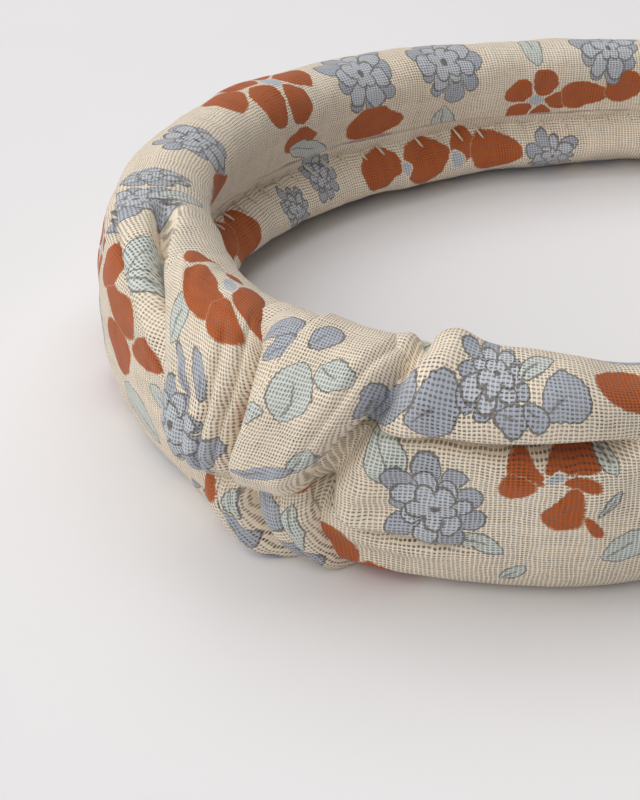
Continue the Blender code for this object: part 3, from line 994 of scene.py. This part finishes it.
strand_lower = ribbon(
    "knot_strand_front",
    [
        (3.0, -2, 10.0, -2, -0.4),
        (2.4, -11, 10.0, -9, 3.4),
        (2.6, -22, 10.5, -18, 4.6),
        (4.2, -36, 11.6, -29, 4.8),
        (7.0, -52, 13.6, -43, 4.4),
        (10.0, -66, 16.0, -58, 3.0),
        (13.0, -80, 18.0, -76, 1.5),
        (15.0, -95, 20.0, -95, 0.4),
    ],
    printed_gauze("front_strand_print", FRONT_STRAND_PRINT, ((-1, 40, -9, 9),)),
    pleats=(
        (((0, 0.1), (1, 0.0)), 0.9, 0.7, 0.7, (0.1, 0.95)),
        (((0, 0.6), (1, 0.5)), 0.7, 0.6, 0.5, (0.1, 0.95)),
    ),
    seed=6,
)
strand_back = ribbon(
    "knot_strand_behind",
    [
        (10.0, 0, 19.0, 2, -0.4),
        (10.5, -8, 19.0, -7, 1.6),
        (11.5, -20, 20.0, -14, 3.3),
        (13.0, -34, 21.0, -26, 3.2),
        (15.0, -50, 22.5, -42, 2.6),
        (17.5, -70, 24.0, -66, 1.6),
        (19.0, -92, 26.0, -92, 0.4),
    ],
    printed_gauze("rear_strand_print", REAR_STRAND_PRINT, ((-1, 40, -9, 9),)),
    pleats=((((0, 0.1), (1, 0.2)), 0.9, 0.7, 0.6, (0.1, 0.95)),),
    seed=7,
)


def wadding(name, side, start, surface):
    """The soft filling of one arm, between the plastic strip and the sleeve."""
    run = spaced(start, HALF_LENGTH - WADDING_SHORT, 2.0)
    arcs = np.linspace(-GIRTH / 2, GIRTH / 2, 72, endpoint=False)
    s, arc = np.meshgrid(side * run, arcs, indexing="ij")
    _, lift = folds_right(s, arc) if side > 0 else folds_left(s, arc)
    hollow = np.minimum(lift, 0) * 1.1 + 0.25 * ripple(s, arc, 3, 14, 6)
    u, v = section(s, angle_at(arc), hollow - WADDING_UNDER)
    inset = STRIP_INSET + (STRIP_TIP_INSET - STRIP_INSET) * arm_share(s)
    u = np.maximum(u, inset + STRIP_THICKNESS + STRIP_GAP - thickness(s) / 2)
    ends = np.sqrt(smooth((run - run[0]) / 3.0) * smooth((run[-1] - run) / 3.0))[:, None]
    u = thickness(s) * 0.1 + (u - thickness(s) * 0.1) * ends
    v = height(s) / 2 + (v - height(s) / 2) * ends
    return grid_mesh(name, on_hoop(s, u, v + TABLE_GAP), np.stack([s, arc], -1), surface, closed=True)


def threads(name, lines, surface):
    """Sewing thread: one round strand along each line of points."""
    rings, cloth, faces = [], [], []
    turns = np.linspace(0, 2 * math.pi, THREAD_SIDES, endpoint=False)
    for line in lines:
        way = np.gradient(line, axis=0)
        way /= np.linalg.norm(way, axis=1)[:, None]
        side = np.cross(way, (0.3, 0.2, 0.93))
        side /= np.linalg.norm(side, axis=1)[:, None]
        other = np.cross(way, side)
        share = np.linspace(0, 1, len(line))
        taper = np.minimum(1, 0.35 + 2.6 * np.minimum(share, 1 - share))
        first = len(rings) * THREAD_SIDES
        for point, a, b, size in zip(line, side, other, taper):
            ring_points = np.cos(turns)[:, None] * a + np.sin(turns)[:, None] * b
            rings.append(point + ring_points * THREAD_RADIUS * size)
            cloth.append(np.stack([np.full(THREAD_SIDES, len(rings) * 0.4), turns], -1))
        last = first + (len(line) - 1) * THREAD_SIDES
        for low in range(first, last, THREAD_SIDES):
            high = low + THREAD_SIDES
            for turn in range(THREAD_SIDES):
                following = (turn + 1) % THREAD_SIDES
                faces.append((low + turn, low + following, high + following, high + turn))
        faces.append(tuple(range(first + THREAD_SIDES - 1, first - 1, -1)))
        faces.append(tuple(range(last, last + THREAD_SIDES)))
    return smooth_piece(name, np.concatenate(rings), faces, np.concatenate(cloth), surface)


def seam_stitches(side):
    """Slanted stitches that close the sleeve along the bottom of its inner fold."""
    seed = SLEEVE_SEED[side]
    lines = []
    for start in np.arange(FIRST_STITCH, HALF_LENGTH - 12.0, STITCH_PITCH):
        step = np.linspace(-1, 1, 7)
        s = side * (start + step)
        arc = seam_line(s, seed) + 1.5 * step
        rise = seam_fold(s, arc, seed) + 0.45 - 0.75 * step**4
        lines.append(on_band(s, angle_at(arc), rise))
    return lines


def knot_tacks():
    """Hand stitches at the back of the knot, which hold one turn's edge down on the other."""
    lines = []
    for degrees in range(150, 211, 12):
        step = np.linspace(-1, 1, 7)
        edge = 0.6 + 0.5 * math.cos(math.radians(degrees - 180) * 2)
        rise = 2.1 + 0.3 * (1 - step**2) - 0.7 * step**4
        lines.append(on_band(edge + 1.7 * step, np.radians(degrees + 4 * step), rise))
    return lines


# ---------------------------------------------------------------- bodies, CAD nodes replaced


def along_line(s):
    return tuple(on_hoop(s, 0, 0) * MM)


along_line(-FLEX_AT + 8)
along_line(-FLEX_AT - 12)
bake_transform(sleeve_left)
along_line(FLEX_AT - 8)
along_line(FLEX_AT + 12)
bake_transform(sleeve_right)
for knot_piece in (wrap_left, wrap_right, strand_lower, strand_back):
    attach(knot_piece, "crown")
wadding_material = material("soft_wadding", wadding_fibres)
thread_material = material("cotton_thread", twisted_thread)
wadding_left = wadding("wadding_left", -1, 1.0, wadding_material)
wadding_right = wadding("wadding_right", 1, 1.0, wadding_material)
stitches_left = threads("seam_thread_left", seam_stitches(-1), thread_material)
stitches_right = threads("seam_thread_right", seam_stitches(1), thread_material)
tacks = threads("knot_thread", knot_tacks(), thread_material)
for piece, body, side in (
    (wadding_left, "arm_left", -1),
    (stitches_left, "arm_left", -1),
    (wadding_right, "arm_right", 1),
    (stitches_right, "arm_right", 1),
):
    blend_start, blend_end = along_line(side * (FLEX_AT - 8)), along_line(side * (FLEX_AT + 12))
    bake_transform(piece)
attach(tacks, "crown")
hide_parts("sleeve_left", "tip_fold_left")
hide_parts("sleeve_right", "tip_fold_right", "sleeve_crown")
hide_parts("knot_wrap")
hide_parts("knot_strand_left")
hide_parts("knot_strand_right")
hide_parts("padding_left")
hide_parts("padding_right", "padding_crown")
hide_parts("seam_stitches_left")
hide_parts("seam_stitches_right")
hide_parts("knot_tacks")
plastic = material("band_plastic_moulded", moulded_plastic)
for name in ("core_crown", "core_left", "core_right"):
    for slot in bpy.data.objects[name].material_slots:
        slot.material = plastic

# ---------------------------------------------------------------- table, light and camera


def table_top(shader):
    at = shader.node("ShaderNodeTexCoord", {}, {}, "Object")
    tone = shader.noise(at, 9.0, 3.0)
    colour = shader.mix(tone, srgb(231, 230, 231), srgb(236, 235, 236))
    return {"Base Color": colour, "Roughness": 0.8}


def lay_table():
    bpy.ops.mesh.primitive_plane_add(size=6)
    table = bpy.context.object
    table.name = "table"
    table.data.materials.append(material("pale_table", table_top))


def lamp(name, place, target, size, power, colour):
    data = bpy.data.lights.new(name, "AREA")
    data.size, data.energy, data.color = size, power, colour
    light = bpy.data.objects.new(name, data)
    light.location = place
    light.rotation_euler = (Vector(target) - Vector(place)).to_track_quat("-Z", "Y").to_euler()
    bpy.context.scene.collection.objects.link(light)


def room_light(colour, strength):
    world = bpy.context.scene.world or bpy.data.worlds.new("world")
    bpy.context.scene.world = world
    world.use_nodes = True
    background = world.node_tree.nodes["Background"]
    background.inputs["Color"].default_value = colour
    background.inputs["Strength"].default_value = strength


def camera(azimuth, elevation, distance, target, lens):
    data = bpy.data.cameras.new("camera")
    data.lens, data.sensor_width = lens, 36
    data.clip_start, data.clip_end = 0.01, 20
    view = bpy.data.objects.new("camera", data)
    a, e = math.radians(azimuth), math.radians(elevation)
    back = Vector((math.sin(a) * math.cos(e), -math.cos(a) * math.cos(e), math.sin(e)))
    view.location = Vector(target) + back * distance
    view.rotation_euler = back.to_track_quat("Z", "Y").to_euler()
    bpy.context.scene.collection.objects.link(view)
    bpy.context.scene.camera = view


lay_table()
camera(45.92, 33.52, 0.3204, (-0.01264, -0.0418, 0.0), 81.0)
lamp("overhead", (-0.35, 0.45, 1.5), (0, 0, 0.02), 1.6, 14.0, (1.0, 0.99, 0.985))
lamp("left", (-1.2, -0.7, 1.0), (0, 0, 0.02), 1.3, 8.5, (1.0, 0.985, 0.97))
lamp("front", (0.2, -1.3, 1.2), (0, 0, 0.02), 2.0, 21.0, (1.0, 0.985, 0.97))
room_light(srgb(236, 236, 240), 0.13)
bpy.context.scene.view_settings.view_transform = "Standard"
